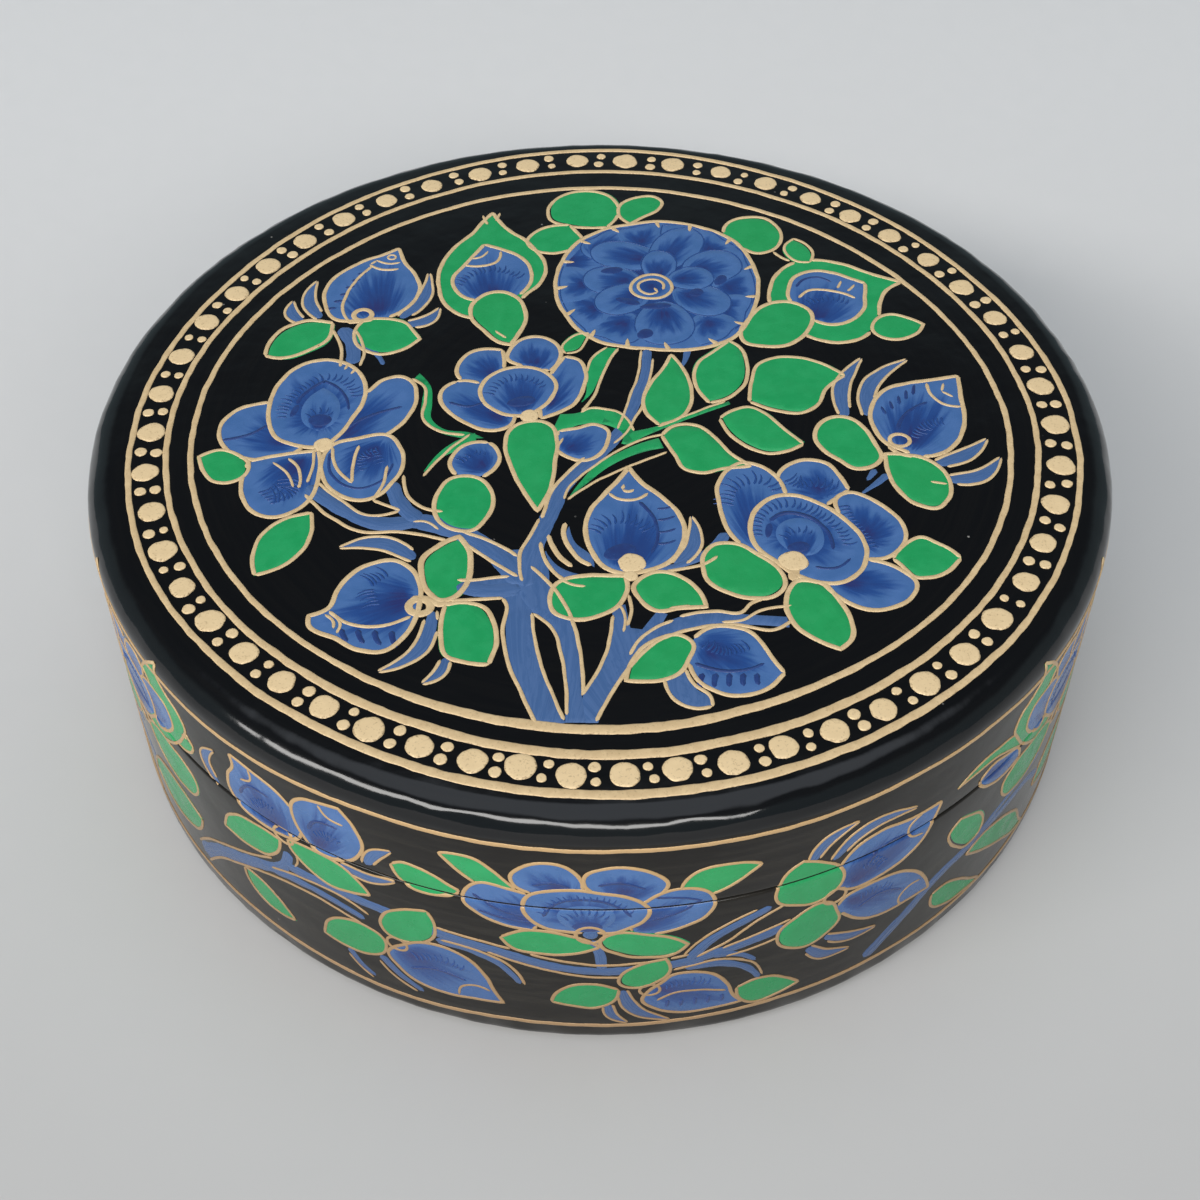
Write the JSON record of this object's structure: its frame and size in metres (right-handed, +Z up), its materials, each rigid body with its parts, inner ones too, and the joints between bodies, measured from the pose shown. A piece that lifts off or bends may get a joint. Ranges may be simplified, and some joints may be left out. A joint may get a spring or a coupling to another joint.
{
  "type": "lidded box",
  "caption": "Round lidded papier-mache box in black lacquer, painted with a gold-outlined tree of blue blooms, buds and green leaves inside a bead border.",
  "frame": {"origin": "centre of the flat underside, on the surface that the box stands on", "axes": "+Z up along the box's axis and the way the lid lifts; the front of the painting faces -Y, with +X to its right"},
  "size_m": [0.1203, 0.1204, 0.0402],
  "materials": {
    "black_lacquer": "black paint under a glossy clear lacquer",
    "gold_paint": "raised gold paint under lacquer",
    "green_paint": "flat emerald paint under lacquer",
    "petal_blue_paint": "brushed blue paint under lacquer",
    "stem_blue_paint": "flat blue paint under lacquer"
  },
  "bodies": {
    "base": {"base_floor": "black_lacquer", "base_wall": "black_lacquer", "base_collar": "black_lacquer", "base_side_line": "gold_paint", "base_side_leaves": "green_paint", "base_side_blooms": "petal_blue_paint", "base_side_stems": "stem_blue_paint", "base_side_knobs": "gold_paint"},
    "lid": {"lid_wall": "black_lacquer", "lid_top": "black_lacquer", "lid_rings": "gold_paint", "lid_beads": "gold_paint", "lid_outlines": "gold_paint", "lid_leaves": "green_paint", "lid_blooms": "petal_blue_paint", "lid_buds": "petal_blue_paint", "lid_sepals": "stem_blue_paint", "lid_branches": "stem_blue_paint", "lid_side_line": "gold_paint", "lid_side_leaves": "green_paint", "lid_side_blooms": "petal_blue_paint", "lid_side_sepals": "stem_blue_paint"}
  },
  "joints": [
    {"name": "lid_lift", "type": "slide", "parent": "base", "child": "lid", "axis": [0, 0, 1], "range_m": [0, 0.05]}
  ]
}
